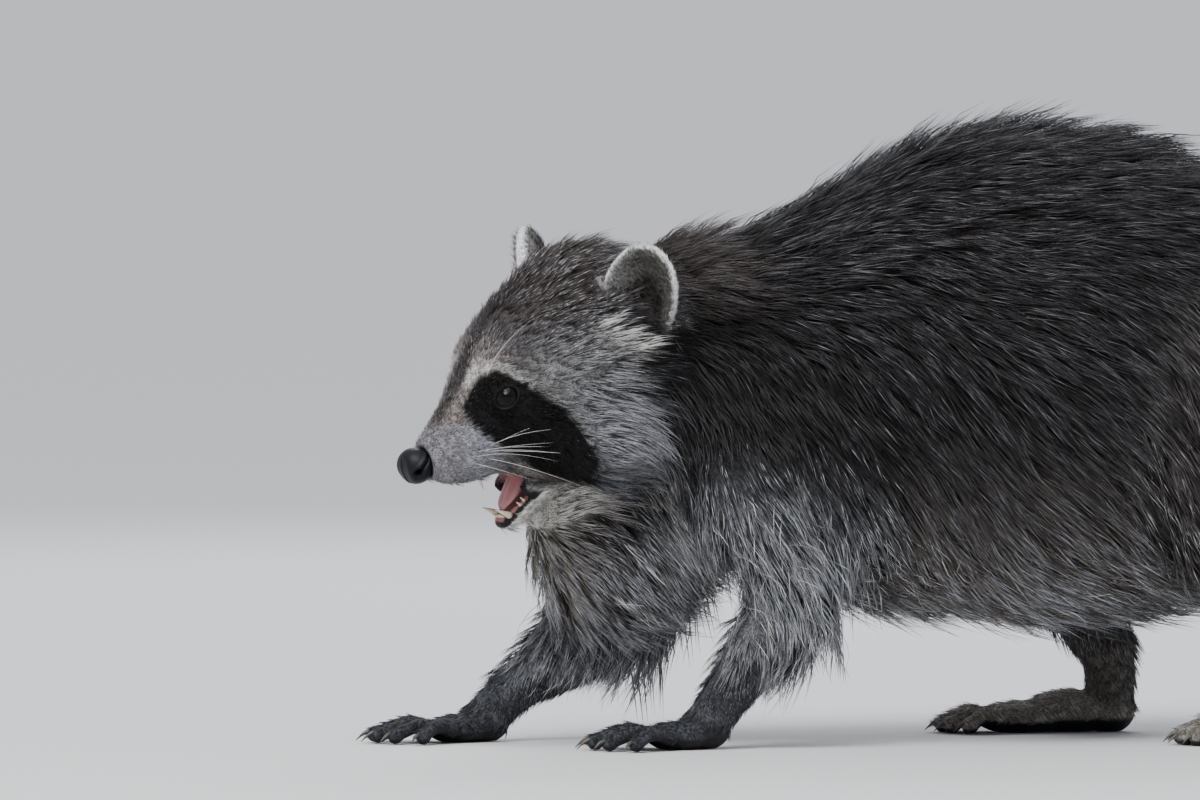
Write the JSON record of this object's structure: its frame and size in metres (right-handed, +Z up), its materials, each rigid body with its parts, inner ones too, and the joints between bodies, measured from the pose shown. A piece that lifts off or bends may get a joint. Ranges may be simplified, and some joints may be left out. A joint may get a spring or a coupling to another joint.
{
  "type": "raccoon",
  "caption": "Life-size raccoon creeping forward, head low and mouth open: long grizzled coat, black mask, pale-rimmed ears, slim clawed paws and a bushy ringed tail.",
  "frame": {"origin": "on the floor, below the middle of the whole animal's box", "axes": "-X the way the animal walks, +Y to its right side, +Z up"},
  "size_m": [0.7378, 0.204, 0.2926],
  "materials": {
    "head_coat": "short fur: grizzled grey crown, white brow stripes, black mask, pale muzzle and cheeks",
    "neck_coat": "long fur: brownish grey nape, cream throat and breast",
    "body_coat": "long shaggy guard hair, blackish brown with pale banded tips, brownish cream belly",
    "tail_coat": "bushy fur with dark rings and a dark tip",
    "leg_coat": "grizzled grey fur, with long pale wisps at the back of the forelegs",
    "forepaw": "slate-dark short fur and bare dark skin, dark claws",
    "hindpaw": "pale short fur over dark soles, dark claws",
    "ear": "short fur, white rim and dark hollow",
    "eye": "wet, very dark brown",
    "nose": "moist black nose leather",
    "jaw": "pale short fur outside, black lip, pink gum and ivory teeth",
    "tongue": "moist pink"
  },
  "bodies": {
    "root": {"head": "head_coat", "neck": "neck_coat", "chest": "body_coat", "loin": "body_coat", "rump": "body_coat", "tail_1": "tail_coat", "tail_2": "tail_coat", "tail_3": "tail_coat", "tail_4": "tail_coat", "foreleg_left_upper": "leg_coat", "foreleg_left_lower": "leg_coat", "foreleg_right_upper": "leg_coat", "foreleg_right_lower": "leg_coat", "hindleg_left_upper": "leg_coat", "hindleg_left_lower": "leg_coat", "hindleg_right_upper": "leg_coat", "hindleg_right_lower": "leg_coat", "forepaw_left": "forepaw", "forepaw_right": "forepaw", "hindpaw_left": "hindpaw", "hindpaw_right": "hindpaw", "ear_left": "ear", "ear_right": "ear", "eye_left": "eye", "eye_right": "eye", "nose": "nose", "lower_jaw": "jaw", "tongue": "tongue"}
  },
  "joints": []
}
